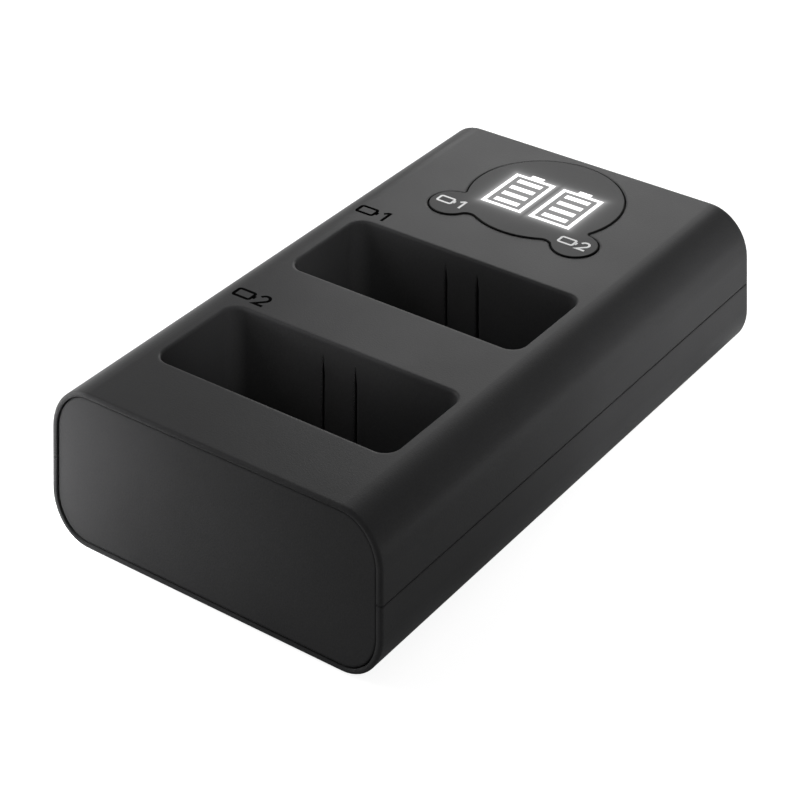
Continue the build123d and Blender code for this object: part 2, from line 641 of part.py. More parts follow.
def spring_contact(x, y):
    """A bent strip: a foot on the board, a leg up through the pocket floor, and a free tail."""
    base = CONTACT_STRIP / 2
    peak = POCKET_Z + CONTACT_RISE - BOARD_TOP_Z
    path = FilletPolyline(
        (-CONTACT_LEAN - CONTACT_FOOT, base),
        (-CONTACT_LEAN, base),
        (0, peak),
        (CONTACT_TAIL, CONTACT_TAIL_LIFT),
        radius=CONTACT_BEND,
    )
    plane = Plane((x - CONTACT_WIDTH / 2, y, BOARD_TOP_Z), x_dir=(0, 1, 0), z_dir=(1, 0, 0))
    return extrude(plane * trace(path, CONTACT_STRIP), CONTACT_WIDTH)


def rubber_foot(x, y):
    """A round pad let into the underside."""
    pad = column(Pos(x, y), FOOT_DIAMETER, BASE_Z - FOOT_PROUD, BASE_Z + FOOT_RECESS)
    return chamfer(pad.edges().sort_by(Axis.Z)[0], FOOT_EDGE)


def all_pieces():
    """Every piece by name."""
    pieces = {
        "top_cover": top_cover(),
        "bottom_cover": bottom_cover(),
        "front_end_plate": end_plate(FRONT_Y + PLATE_RECESS, -1),
        "rear_end_plate": rear_end_plate(),
        "display_window": display_window(),
        "light_box": light_box(),
        "display_board": display_board(),
        "display_screws": display_screws(),
        "link_socket": link_socket(),
        "link_pins": link_pins(),
        "main_board": main_board(),
        "usb_socket_shell": usb_socket_shell(),
        "usb_socket_tongue": usb_socket_tongue(),
        "control_chip": chip(0),
        "case_screws": case_screws(),
    }
    for name, place, _, _ in sign_cells():
        pieces[f"light_diode_{name}"] = light_diode(place)
    for name, side in SIDES:
        pieces[f"battery_sign_{name}"] = battery_sign(side)
        pieces[f"charging_chip_{name}"] = chip(side * CHIP_X)
        pieces[f"inductor_{name}"] = inductor(side * CHIP_X)
        for row in range(2):
            pieces[f"capacitor_{name}_{row + 1}"] = capacitor(side * CAPACITOR_X, row)
        for end, y in (("front", -FOOT_Y), ("rear", FOOT_Y)):
            pieces[f"foot_{end}_{name}"] = rubber_foot(side * FOOT_X, y)
    for pocket, y in zip(POCKET_NAMES, POCKET_Y):
        for number, x in enumerate(CONTACT_PLACES, start=1):
            pieces[f"contact_{pocket}_{number}"] = spring_contact(x, y)
    return pieces


os.makedirs("parts", exist_ok=True)
for name, piece in all_pieces().items():
    group = piece if isinstance(piece, list) else [piece]
    solids = [solid for item in group for solid in item.solids()]
    export_step(solids[0] if len(solids) == 1 else Compound(children=solids), f"parts/{name}.step")
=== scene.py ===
# %% [markdown]
# # Dressing a two-slot camera battery charger
# The CAD model gives every moulded, folded and soldered piece of the charger at its real size.
# This lesson adds what CAD leaves plain: the finish of each surface, the printed marks, the screw
# heads with their cross recess, the gold pads in the inlet, and a small studio.
# All lengths are in metres, in the frame of the CAD model, so a piece needs no fitting.

# %% Load the CAD frame
import json
import math

import bmesh
import bpy
import numpy as np
from mathutils import Matrix, Vector


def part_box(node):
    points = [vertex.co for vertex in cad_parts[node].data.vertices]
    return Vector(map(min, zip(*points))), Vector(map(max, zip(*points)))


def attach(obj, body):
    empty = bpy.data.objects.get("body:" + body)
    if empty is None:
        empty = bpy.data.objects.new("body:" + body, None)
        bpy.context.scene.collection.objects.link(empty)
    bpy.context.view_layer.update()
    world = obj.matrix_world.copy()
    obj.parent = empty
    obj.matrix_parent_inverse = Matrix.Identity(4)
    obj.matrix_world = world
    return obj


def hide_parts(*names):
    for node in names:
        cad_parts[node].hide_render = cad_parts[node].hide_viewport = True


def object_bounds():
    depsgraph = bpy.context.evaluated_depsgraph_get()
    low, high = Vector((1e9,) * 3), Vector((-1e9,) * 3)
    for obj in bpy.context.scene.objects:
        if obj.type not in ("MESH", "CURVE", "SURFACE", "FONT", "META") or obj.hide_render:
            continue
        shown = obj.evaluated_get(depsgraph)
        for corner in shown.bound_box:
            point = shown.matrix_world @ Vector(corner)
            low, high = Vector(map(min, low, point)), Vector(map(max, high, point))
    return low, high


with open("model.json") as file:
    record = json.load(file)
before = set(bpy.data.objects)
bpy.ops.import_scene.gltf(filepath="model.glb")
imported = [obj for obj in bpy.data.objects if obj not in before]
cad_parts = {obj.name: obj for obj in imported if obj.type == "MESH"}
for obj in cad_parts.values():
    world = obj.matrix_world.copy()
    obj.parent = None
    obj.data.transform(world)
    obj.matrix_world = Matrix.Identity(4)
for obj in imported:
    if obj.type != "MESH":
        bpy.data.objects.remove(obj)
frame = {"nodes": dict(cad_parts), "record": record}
cad_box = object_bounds()
nodes = frame["nodes"]
scene = bpy.context.scene
scene.view_settings.view_transform = "Standard"
MM = 0.001
print("CAD nodes:", len(nodes), "box in mm:", [[round(c / MM, 2) for c in corner] for corner in cad_box])

# %% [markdown]
# ## Making a mesh from arrays
# Each new piece below is a grid of points worked out with numpy in one go. A grid only needs a rule
# for its faces: every point is joined to its right and lower neighbours. Points that fall together,
# as at the pole of a screw head, are merged, and then the faces are turned outwards.

# %% Grid faces and new pieces
MERGE_DISTANCE = 0.0005 * MM
SMOOTH_BELOW = math.radians(35)


def grid_faces(rows, columns):
    """Quads (r, c), (r, c+1), (r+1, c+1), (r+1, c) of a grid numbered row by row; columns wrap round."""
    row, column = np.meshgrid(np.arange(rows - 1), np.arange(columns), indexing="ij")
    beside = (column + 1) % columns
    corners = [row * columns + column, row * columns + beside]
    corners += [(row + 1) * columns + beside, (row + 1) * columns + column]
    return np.stack(corners, axis=-1).reshape(-1, 4)


def joined(shapes):
    """Several (points, faces) shapes as one: the faces of each are numbered on from the one before."""
    starts = np.cumsum([0] + [len(points) for points, _ in shapes[:-1]])
    points = np.concatenate([points for points, _ in shapes])
    return points, np.concatenate([faces + start for (_, faces), start in zip(shapes, starts)])


def add_piece(name, shape, material):
    """A new object that rides on the charger, with smooth shading except at sharp edges."""
    points, faces = shape
    mesh = bpy.data.meshes.new(name)
    mesh.from_pydata(points.tolist(), [], faces.tolist())
    shell = bmesh.new()
    shell.from_mesh(mesh)
    bmesh.ops.remove_doubles(shell, verts=shell.verts, dist=MERGE_DISTANCE)
    bmesh.ops.recalc_face_normals(shell, faces=shell.faces)
    shell.to_mesh(mesh)
    shell.free()
    mesh.shade_smooth()
    mesh.set_sharp_from_angle(angle=SMOOTH_BELOW)
    mesh.materials.append(material)
    piece = bpy.data.objects.new(name, mesh)
    scene.collection.objects.link(piece)
    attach(piece, "root")
    print("made", name, "with", len(mesh.polygons), "faces")
    return piece


print("a ring of 3 rows and 4 columns has", len(grid_faces(3, 4)), "faces")

# %% [markdown]
# ## Building finishes from nodes
# A finish starts from the Principled shader. What is the same all over is set on the shader itself,
# and what varies comes from noise on the object's own coordinates, so that it stays put when the
# charger is turned. Noise is named by the size of its spots, because that is what one measures on
# a real surface.

# %% Helpers for finishes
NOISE_LOW, NOISE_HIGH = 0.3, 0.7
FINE_DETAIL = 2.0
USUAL_GLOSS = 0.5


def add_node(tree, kind, inputs=(), **settings):
    """Add a node, set its properties, and set or link its inputs."""
    node = tree.nodes.new(kind)
    for key, value in settings.items():
        setattr(node, key, value)
    for socket, value in dict(inputs).items():
        if isinstance(value, bpy.types.NodeSocket):
            tree.links.new(value, node.inputs[socket])
        else:
            node.inputs[socket].default_value = value
    return node


def start_finish(name, colour, roughness, gloss=USUAL_GLOSS, metallic=0.0):
    """A material with its plain values set on the shader; gloss is the specular level."""
    material = bpy.data.materials.new(name)
    material.use_nodes = True
    shader = material.node_tree.nodes["Principled BSDF"]
    shader.inputs["Base Color"].default_value = (*colour, 1)
    shader.inputs["Roughness"].default_value = roughness
    shader.inputs["Specular IOR Level"].default_value = gloss
    shader.inputs["Metallic"].default_value = metallic
    return material, material.node_tree, shader


def object_place(tree):
    """The object's own coordinates, which here are metres in the charger's frame."""
    return add_node(tree, "ShaderNodeTexCoord").outputs["Object"]


def noise(tree, spot, detail=FINE_DETAIL, stretch=(1, 1, 1)):
    """Noise from 0 to 1 with spots about that length across, drawn out along an axis by stretch."""
    scale = tuple(1 / length for length in stretch)
    turned = add_node(tree, "ShaderNodeMapping", {"Vector": object_place(tree), "Scale": scale})
    inputs = {"Vector": turned.outputs[0], "Scale": 1 / spot, "Detail": detail}
    return add_node(tree, "ShaderNodeTexNoise", inputs).outputs[0]


def between(tree, value, low, high, from_low=NOISE_LOW, from_high=NOISE_HIGH):
    """Carry a value from one range to another in a straight line, and stop at the ends."""
    inputs = {"Value": value, "From Min": from_low, "From Max": from_high, "To Min": low, "To Max": high}
    return add_node(tree, "ShaderNodeMapRange", inputs).outputs[0]


def calculate(tree, operation, first, second=0.0):
    """One arithmetic step on two numbers."""
    return add_node(tree, "ShaderNodeMath", {0: first, 1: second}, operation=operation).outputs[0]


def mixed(tree, share, first, second):
    """A colour that goes from the first to the second as the share goes from 0 to 1."""
    mix = add_node(tree, "ShaderNodeMix", {"Factor": share}, data_type="RGBA")
    for name, colour in (("A", first), ("B", second)):
        entry = next(s for s in mix.inputs if s.name == name and s.type == "RGBA")
        if isinstance(colour, bpy.types.NodeSocket):
            tree.links.new(colour, entry)
        else:
            entry.default_value = (*colour, 1)
    return next(s for s in mix.outputs if s.type == "RGBA")


def raised(tree, shader, height, depth, edge=0.0):
    """Let a value from 0 to 1 tilt the surface as if it stood up by depth, and soften edges by a radius."""
    bump = add_node(tree, "ShaderNodeBump", {"Height": height, "Distance": depth, "Strength": 1.0})
    if edge:
        softened = add_node(tree, "ShaderNodeBevel", {"Radius": edge})
        tree.links.new(softened.outputs[0], bump.inputs["Normal"])
    tree.links.new(bump.outputs[0], shader.inputs["Normal"])


def shaded(colour, share):
    """A colour made lighter or darker by a share."""
    return tuple(channel * share for channel in colour)


print("noise is used between", NOISE_LOW, "and", NOISE_HIGH, "where most of its values lie")

# %% [markdown]
# ## The case plastic
# Both covers and both end plates are black ABS from a spark-eroded mould, which leaves a very fine,
# even grain. A perfectly plain black would look like a drawing, so the grain tilts the surface a
# little, and grain and slow clouds together change the tone by up to 15 percent, as flow marks do.
# The grain kills most of the shine, hence the low specular level. No moulded edge is sharp, so a
# bevel node also rounds the shading of the edges, and the shape itself stays as it is.

# %% Moulded case plastic
CASE_BLACK = (0.022, 0.022, 0.0225)
CASE_ROUGHNESS = 0.36
CASE_GLOSS = 0.035
CASE_EDGE = 0.5 * MM
GRAIN_SPOT = 0.22 * MM
GRAIN_DEPTH = 0.014 * MM
CLOUD_SPOT = 14 * MM
CLOUD_DETAIL = 3.0
TONE_DRIFT = 0.15
ROUGHNESS_DRIFT = 0.02


def moulded_plastic(name, colour, roughness, gloss, grain_depth, edge=0.0):
    """Grained plastic: colour and roughness drift in slow clouds, and a fine grain tilts the surface."""
    material, tree, shader = start_finish(name, colour, roughness, gloss)
    cloud = noise(tree, CLOUD_SPOT, CLOUD_DETAIL)
    grain = noise(tree, GRAIN_SPOT)
    both = calculate(tree, "ADD", cloud, grain)
    share = between(tree, both, 0, 1, 2 * NOISE_LOW, 2 * NOISE_HIGH)
    tone = mixed(tree, share, shaded(colour, 1 - TONE_DRIFT), shaded(colour, 1 + TONE_DRIFT))
    tree.links.new(tone, shader.inputs["Base Color"])
    rough = between(tree, cloud, roughness + ROUGHNESS_DRIFT, roughness - ROUGHNESS_DRIFT)
    tree.links.new(rough, shader.inputs["Roughness"])
    raised(tree, shader, grain, grain_depth, edge)
    return material


case_look = (CASE_BLACK, CASE_ROUGHNESS, CASE_GLOSS, GRAIN_DEPTH, CASE_EDGE)
case_plastic = moulded_plastic("moulded_case_plastic", *case_look)
print("made", case_plastic.name, "with grain of", GRAIN_SPOT / MM, "mm")

# %% [markdown]
# ## The display window and its glow
# The window is a smoother, darker plate, and a painted glow stands for light from the signs that bleeds
# sideways through it. That glow could be a blur over the finished picture, but then it would vanish from
# the model. Here it is painted into the finish: the distance from the rectangle of each sign sets an
# emission that fades away.
# The distance to a rectangle is the length of max(|p - centre| - half size, 0). The bevelled edge of
# the plate is painted near black, a painted shadow that draws the dark line round the window.

# %% Window plastic with the painted glow of the signs
WINDOW_BLACK = (0.014, 0.014, 0.0143)
WINDOW_ROUGHNESS = 0.34
WINDOW_GLOSS = 0.026
WINDOW_GRAIN = 0.4 * GRAIN_DEPTH
EDGE_PAINTED_SHADOW = (0.001, 0.001, 0.001)
EDGE_BELOW = 0.004 * MM
SIGN_NODES = ("battery_sign_left", "battery_sign_right")
SIGN_NUB = 0.75 * MM
GLOW_WHITE = (1, 1, 1, 1)
GLOW_INSIDE = 0.20
GLOW_NEAR = 0.26
GLOW_NEAR_REACH = 0.42 * MM
GLOW_WIDE = 0.065
GLOW_WIDE_REACH = 1.3 * MM
OUTSIDE_FROM = 0.001 * MM


def sign_distance(tree, sign):
    """Distance in the plan from the frame of one battery sign, 0 inside it."""
    low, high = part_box(sign)
    centre = ((low.x + high.x) / 2, (low.y + high.y - SIGN_NUB) / 2, 0)
    half = ((high.x - low.x) / 2, (high.y - low.y - SIGN_NUB) / 2, 0)
    steps = (("SUBTRACT", centre), ("ABSOLUTE", None), ("SUBTRACT", half), ("MAXIMUM", (0, 0, 0)))
    value = object_place(tree)
    for operation, other in steps + (("MULTIPLY", (1, 1, 0)),):
        inputs = {0: value} if other is None else {0: value, 1: other}
        value = add_node(tree, "ShaderNodeVectorMath", inputs, operation=operation).outputs[0]
    return add_node(tree, "ShaderNodeVectorMath", {0: value}, operation="LENGTH").outputs["Value"]


def faded(tree, distance, strength, reach):
    """strength * e^(-distance / reach)"""
    power = calculate(tree, "EXPONENT", calculate(tree, "MULTIPLY", distance, -1 / reach))
    return calculate(tree, "MULTIPLY", power, strength)


def window_plastic():
    """Smooth plate with a painted shadow on its edge, and a painted glow that is even inside the signs and
    fades outside.
    """
    look = (WINDOW_BLACK, WINDOW_ROUGHNESS, WINDOW_GLOSS, WINDOW_GRAIN)
    material = moulded_plastic("window_plate_painted_glow_and_shadow", *look)
    tree = material.node_tree
    shader = tree.nodes["Principled BSDF"]
    face_tone = shader.inputs["Base Color"].links[0].from_socket
    height = add_node(tree, "ShaderNodeSeparateXYZ", {0: object_place(tree)}).outputs["Z"]
    face_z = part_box("display_window")[1].z
    # Painted shadow: the bevelled edge below the face is near black.
    face_above_painted_shadow = calculate(tree, "GREATER_THAN", height, face_z - EDGE_BELOW)
    tree.links.new(mixed(tree, face_above_painted_shadow, EDGE_PAINTED_SHADOW, face_tone), shader.inputs["Base Color"])
    # Painted glow: an emission round the signs, even inside their frames and fading outside.
    distances = [sign_distance(tree, sign) for sign in SIGN_NODES]
    nearest = calculate(tree, "MINIMUM", *distances)
    near = faded(tree, nearest, GLOW_NEAR, GLOW_NEAR_REACH)
    wide = faded(tree, nearest, GLOW_WIDE, GLOW_WIDE_REACH)
    outside = calculate(tree, "ADD", near, wide)
    is_inside = calculate(tree, "LESS_THAN", nearest, OUTSIDE_FROM)
    strength = add_node(tree, "ShaderNodeMix", {"Factor": is_inside, "A": outside, "B": GLOW_INSIDE})
    shader.inputs["Emission Color"].default_value = GLOW_WHITE
    tree.links.new(strength.outputs[0], shader.inputs["Emission Strength"])
    return material


window_painted_glow_and_shadow = window_plastic()
print("glow reaches about", GLOW_WIDE_REACH / MM, "mm past each sign")

# %% [markdown]
# ## The lit signs
# Each sign is a white light guide let into the window. A guide is brightest in the middle of its
# stroke and loses light at its edges, so the finish needs to know how deep inside a stroke a point
# lies. That is the least distance to the sides of the rectangle that it is in: the frame, one of the
# four bars, or the nub. Both signs share the finish, because |x| folds one onto the other.

# %% Light guides
SIGN_STROKE = 0.65 * MM
NUB_WIDTH = 2.15 * MM
BAR_COUNT = 4
BAR_WIDTH = 4.05 * MM
BAR_HEIGHT = 1.05 * MM
BAR_PITCH = 2.02 * MM
GUIDE_WHITE = (0.9, 0.9, 0.9)
GUIDE_RIM = (0.08, 0.08, 0.08)
GUIDE_ROUGHNESS = 0.4
GUIDE_FADE = 0.16 * MM
GUIDE_EDGE = 0.30
GUIDE_MIDDLE = 1.06
UNEVEN_SPOT = 2.5 * MM
UNEVEN_LOW = 0.93


def least(tree, *values):
    """The smallest of several values."""
    smallest = values[0]
    for value in values[1:]:
        smallest = calculate(tree, "MINIMUM", smallest, value)
    return smallest


def stroke_depth(tree):
    """Greatest of three depths: frame min(s, stroke - s), and bars and nub min(half - |p|).

    Here s is the distance from the outer edge of the frame."""
    low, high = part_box(SIGN_NODES[1])
    half_width, half_height = (high.x - low.x) / 2, (high.y - low.y - SIGN_NUB) / 2
    place = add_node(tree, "ShaderNodeSeparateXYZ", {0: object_place(tree)}).outputs
    from_middle = calculate(tree, "SUBTRACT", calculate(tree, "ABSOLUTE", place["X"]), (low.x + high.x) / 2)
    across = calculate(tree, "ABSOLUTE", from_middle)
    upwards = calculate(tree, "SUBTRACT", place["Y"], low.y + half_height)
    along = calculate(tree, "ABSOLUTE", upwards)

    def short_of(limit, value):
        return calculate(tree, "SUBTRACT", limit, value)

    from_edge = least(tree, short_of(half_width, across), short_of(half_height, along))
    frame_depth = least(tree, from_edge, short_of(SIGN_STROKE, from_edge))
    row = calculate(tree, "FRACT", calculate(tree, "DIVIDE", along, BAR_PITCH))
    off_bar = calculate(tree, "MULTIPLY", calculate(tree, "ABSOLUTE", short_of(0.5, row)), BAR_PITCH)
    last_row = BAR_COUNT / 2 * BAR_PITCH
    bar_sides = [short_of(BAR_WIDTH / 2, across), short_of(BAR_HEIGHT / 2, off_bar)]
    bar_sides.append(short_of(last_row, along))
    above_stroke = calculate(tree, "SUBTRACT", upwards, half_height - SIGN_STROKE)
    nub_sides = [short_of(NUB_WIDTH / 2, across), short_of(half_height + SIGN_NUB, upwards), above_stroke]
    inner = calculate(tree, "MAXIMUM", least(tree, *bar_sides), least(tree, *nub_sides))
    return calculate(tree, "MAXIMUM", frame_depth, inner)


def lit_sign():
    """White light guides: bright in the middle of a stroke, dimmer at its edges, a touch uneven."""
    material, tree, shader = start_finish("lit_sign_white", GUIDE_WHITE, GUIDE_ROUGHNESS)
    shader.inputs["Emission Color"].default_value = GLOW_WHITE
    share = between(tree, stroke_depth(tree), 0, 1, 0, GUIDE_FADE)
    tree.links.new(mixed(tree, share, GUIDE_RIM, GUIDE_WHITE), shader.inputs["Base Color"])
    brightness = between(tree, share, GUIDE_EDGE, GUIDE_MIDDLE, 0, 1)
    uneven = between(tree, noise(tree, UNEVEN_SPOT), UNEVEN_LOW, 1)
    strength = calculate(tree, "MULTIPLY", brightness, uneven)
    tree.links.new(strength, shader.inputs["Emission Strength"])
    return material


sign_finish = lit_sign()
print("a stroke is fully lit over", round((SIGN_STROKE - 2 * GUIDE_FADE) / MM, 2), "mm of its width")

# %% [markdown]
# ## Metals
# The screws are zinc plated, the inlet sleeve is bright folded steel, and the contacts are gold
# plated strip. Metal takes its colour from reflection, so the metallic value is 1, and the roughness
# carries the story: fine lines along the strip where it ran through the rollers.

# %% Metal finishes
LINE_DETAIL = 4.0
LINE_DEPTH = 0.003 * MM
LINE_TONES = (0.92, 1.05)
LINE_ROUGHNESS = 0.08
METALS = {
    "screw_steel": ("zinc_plated_screw", (0.36, 0.36, 0.37), 0.38, 0.10 * MM, (1, 1, 3)),
    "socket_steel": ("folded_sleeve_steel", (0.62, 0.62, 0.63), 0.30, 0.06 * MM, (1, 25, 1)),
    "contact_metal": ("gold_contact_strip", (0.83, 0.62, 0.28), 0.28, 0.05 * MM, (1, 12, 12)),
}


def rolled_metal(name, colour, roughness, spot, stretch):
    """Metal with fine lines drawn out along one axis, seen in its roughness and in a slight bump."""
    material, tree, shader = start_finish(name, colour, roughness, metallic=1.0)
    lines = noise(tree, spot, LINE_DETAIL, stretch)
    rough = between(tree, lines, roughness - LINE_ROUGHNESS, roughness + LINE_ROUGHNESS)
    tree.links.new(rough, shader.inputs["Roughness"])
    darker, lighter = (shaded(colour, share) for share in LINE_TONES)
    tree.links.new(mixed(tree, between(tree, lines, 0, 1), darker, lighter), shader.inputs["Base Color"])
    raised(tree, shader, lines, LINE_DEPTH)
    return material


metal_finish = {slot: rolled_metal(*look) for slot, look in METALS.items()}
print("metals:", ", ".join(metal.name for metal in metal_finish.values()))

# %% [markdown]
# ## Rubber and the parts inside
# The feet are soft rubber with a dull, dusty surface. Inside are the boards with green solder mask
# over copper tracks, chips in black epoxy, ferrite coils, tan ceramic capacitors with tinned ends,
# diodes in yellow resin and a white light box. They hardly show, but the model can be taken apart.

# %% Finishes of the inner parts
MASK_GREEN = (0.018, 0.105, 0.048)
MASK_ROUGHNESS = 0.34
TRACK_GREEN = (0.035, 0.180, 0.080)
TRACK_PITCH = 1.27 * MM
TRACK_SHARE = 0.06
TRACK_HEIGHT = 0.02 * MM
SPECK_DETAIL = 3.0
SPECK_DEPTH = 0.01 * MM
SPECKLED = {
    "foot_rubber": ("dusty_foot_rubber", (0.022, 0.022, 0.023), 0.85, 0.30 * MM, 0.25),
    "socket_plastic": ("black_socket_moulding", (0.02, 0.02, 0.021), 0.50, 0.15 * MM, 0.10),
    "chip_plastic": ("chip_epoxy", (0.024, 0.024, 0.026), 0.55, 0.08 * MM, 0.20),
    "coil_ferrite": ("coil_ferrite", (0.09, 0.09, 0.095), 0.60, 0.25 * MM, 0.25),
    "diode_resin": ("yellow_diode_resin", (0.88, 0.80, 0.48), 0.20, 0.10 * MM, 0.08),
    "light_box_white": ("light_box_white", (0.82, 0.82, 0.80), 0.60, 0.40 * MM, 0.02),
}
CERAMIC_TAN = (0.45, 0.30, 0.18)
CERAMIC_ROUGHNESS = 0.45
CERAMIC_SPOT = 0.2 * MM
CERAMIC_HALF = 0.34
TIN_GREY = (0.62, 0.62, 0.60)


def solder_mask(name):
    """Green lacquer over copper: a brick pattern stands for the tracks, a little raised and lighter."""
    material, tree, shader = start_finish(name, MASK_GREEN, MASK_ROUGHNESS)
    inputs = {"Vector": object_place(tree), "Scale": 1 / TRACK_PITCH, "Mortar Size": TRACK_SHARE}
    bricks = add_node(tree, "ShaderNodeTexBrick", inputs).outputs["Fac"]
    tree.links.new(mixed(tree, bricks, MASK_GREEN, TRACK_GREEN), shader.inputs["Base Color"])
    raised(tree, shader, bricks, TRACK_HEIGHT)
    return material


def speckled(name, colour, roughness, spot, contrast):
    """A pressed or moulded body whose colour is broken by small specks."""
    material, tree, shader = start_finish(name, colour, roughness)
    specks = noise(tree, spot, SPECK_DETAIL)
    darker, lighter = shaded(colour, 1 - contrast), shaded(colour, 1 + contrast)
    tree.links.new(mixed(tree, between(tree, specks, 0, 1), darker, lighter), shader.inputs["Base Color"])
    raised(tree, shader, specks, SPECK_DEPTH)
    return material


def capacitor_finish(node):
    """Tan ceramic whose two ends are tinned: |y - centre| past the middle stretch is metal."""
    low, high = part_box(node)
    material, tree, shader = start_finish(f"ceramic_{node}", CERAMIC_TAN, CERAMIC_ROUGHNESS)
    centred = add_node(tree, "ShaderNodeMapping", {"Vector": object_place(tree)})
    centred.inputs["Location"].default_value = (0, -(low.y + high.y) / 2, 0)
    y = add_node(tree, "ShaderNodeSeparateXYZ", {0: centred.outputs[0]}).outputs["Y"]
    middle_half = CERAMIC_HALF * (high.y - low.y)
    is_tin = calculate(tree, "GREATER_THAN", calculate(tree, "ABSOLUTE", y), middle_half)
    tree.links.new(mixed(tree, is_tin, CERAMIC_TAN, TIN_GREY), shader.inputs["Base Color"])
    tree.links.new(is_tin, shader.inputs["Metallic"])
    raised(tree, shader, noise(tree, CERAMIC_SPOT), SPECK_DEPTH)
    return material


slot_finish = {slot: speckled(*look) for slot, look in SPECKLED.items()}
slot_finish |= metal_finish
slot_finish |= {"case_plastic": case_plastic, "window_plastic": window_painted_glow_and_shadow, "sign_light": sign_finish}
slot_finish["board_laminate"] = solder_mask("green_board_mask")
print("finishes made:", len(slot_finish))

# %% [markdown]
# ## Giving the CAD pieces their finish
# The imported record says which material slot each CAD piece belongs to, so one loop dresses them all.
# Only the capacitors need a finish each, because the tinned ends follow the place of the piece.

# %% Dress every CAD piece
for part in frame["record"]["subparts"]:
    name, slot = part["node"], part["material_slot"]
    finish = slot_finish.get(slot) or capacitor_finish(name)
    nodes[name].data.materials.clear()
    nodes[name].data.materials.append(finish)

# %% [markdown]
# ## Printed marks
# Dark marks by the pockets and white marks on the lobes of the window number the two pockets. Text
# would bring a typeface with it, so each mark is drawn with a few ink strokes: a small battery
# outline and the figure 1 or 2. A stroke is a flat profile carried along a path; at a corner it is
# mitred, which means that its side offset is (n1 + n2) / (1 + n1 . n2) for the normals on each side.

# %% Ink strokes
INK_HEIGHT = 0.01 * MM
INK_SUNK = 0.02 * MM
INK_SLOPE = 0.03 * MM
ARC_STEPS = 24
CORNER_STEPS = 6


def ink_stroke(path, width, surface_z, closed=False):
    """A ribbon: path + side * mitred normal.

    The sides are -w/2, -w/2 + e, w/2 - e and w/2, at heights low, high, high and low."""
    ring = np.vstack([path[-1:], path, path[:1]]) if closed else path
    run = np.diff(ring, axis=0)
    run /= np.linalg.norm(run, axis=1, keepdims=True)
    normal = np.stack([-run[:, 1], run[:, 0]], axis=1)
    if not closed:
        normal = np.vstack([normal[:1], normal, normal[-1:]])
    before, after = normal[:-1], normal[1:]
    mitre = (before + after) / (1 + np.sum(before * after, axis=1, keepdims=True))
    sides = np.array([-width / 2, INK_SLOPE - width / 2, width / 2 - INK_SLOPE, width / 2])
    heights = surface_z + np.array([-INK_SUNK, INK_HEIGHT, INK_HEIGHT, -INK_SUNK])
    plan = path[:, None, :] + sides[None, :, None] * mitre[:, None, :]
    upright = np.broadcast_to(heights[None, :, None], (*plan.shape[:2], 1))
    points = np.concatenate([plan, upright], axis=2)
    if closed:
        points = np.concatenate([points, points[:1]])
    rows = len(points)
    faces = grid_faces(rows, 4)
    if not closed:
        faces = np.vstack([faces, [[3, 2, 1, 0]], (rows - 1) * 4 + np.arange(4)[None, :]])
    return points.reshape(-1, 3), faces


def arc(centre, radius, start, end, steps=ARC_STEPS):
    """Points on a circle: centre + radius * (cos a, sin a), with a in degrees from start to end."""
    angle = np.radians(np.linspace(start, end, steps))
    return np.array(centre) + radius * np.stack([np.cos(angle), np.sin(angle)], axis=1)


def rounded_box(centre, width, height, corner):
    """A closed path of four quarter circles, one at each corner."""
    half = np.array([width / 2 - corner, height / 2 - corner])
    quarters = [(1, 1, 0), (-1, 1, 90), (-1, -1, 180), (1, -1, 270)]
    arcs = [arc(centre + half * (sx, sy), corner, a, a + 90, CORNER_STEPS) for sx, sy, a in quarters]
    return np.vstack(arcs)


print("ink stands", INK_HEIGHT / MM, "mm proud of the surface")

# %% [markdown]
# A figure is drawn in a box one unit high and scaled afterwards. The 1 is a stem and a flag, and the
# 2 is most of a circle that runs into a straight diagonal and a foot.

# %% Numbered battery marks
DARK_INK = (0.002, 0.002, 0.002)
WHITE_INK = (0.92, 0.92, 0.92)
INK_ROUGHNESS = 0.6
INK_SPOT = 0.35 * MM
INK_THIN = 0.93
INK_GRAIN_SPOT = 0.1 * MM
INK_GRAIN_DEPTH = 0.004 * MM
FIGURE_PATHS = {
    1: np.array([(-0.26, 0.74), (-0.02, 0.95), (0.08, 0.95), (0.08, -0.05)]),
    2: np.vstack([arc((0, 0.70), 0.30, 168, -35), [(-0.30, 0.0), (0.34, 0.0)]]),
}
FIGURE_WIDTH = 0.62
SIGN_LENGTH = 1.15
SIGN_TALL = 0.72
SIGN_CORNER = 0.14
SIGN_GAP = 0.62
NUB_REACH = 0.13
NUB_TALL = 0.30
HALF_UP = np.array([0, 0.5])
POCKET_MARKS = {1: (-17.55 * MM, 13.62 * MM), 2: (-17.55 * MM, -13.98 * MM)}
POCKET_MARK_SIZE = (2.35 * MM, 0.50 * MM)
LOBE_MARKS = {1: (-10.30 * MM, 22.50 * MM), 2: (9.95 * MM, 22.60 * MM)}
LOBE_MARK_SIZE = (2.0 * MM, 0.40 * MM)


def numbered_mark(figure, centre, height, stroke, surface_z):
    """A battery outline with its nub, then the figure, centred on a place in the plan."""
    left = -(SIGN_LENGTH + NUB_REACH + SIGN_GAP + FIGURE_WIDTH / 2) / 2
    nub_x = left + SIGN_LENGTH + NUB_REACH
    outline = rounded_box(HALF_UP + (left + SIGN_LENGTH / 2, 0), SIGN_LENGTH, SIGN_TALL, SIGN_CORNER)
    nub = HALF_UP + [(nub_x, -NUB_TALL / 2), (nub_x, NUB_TALL / 2)]
    number = FIGURE_PATHS[figure] + (nub_x + SIGN_GAP, 0)
    strokes = []
    for path, closed in ((outline, True), (nub, False), (number, False)):
        strokes.append(ink_stroke((path - HALF_UP) * height + centre, stroke, surface_z, closed))
    return joined(strokes)


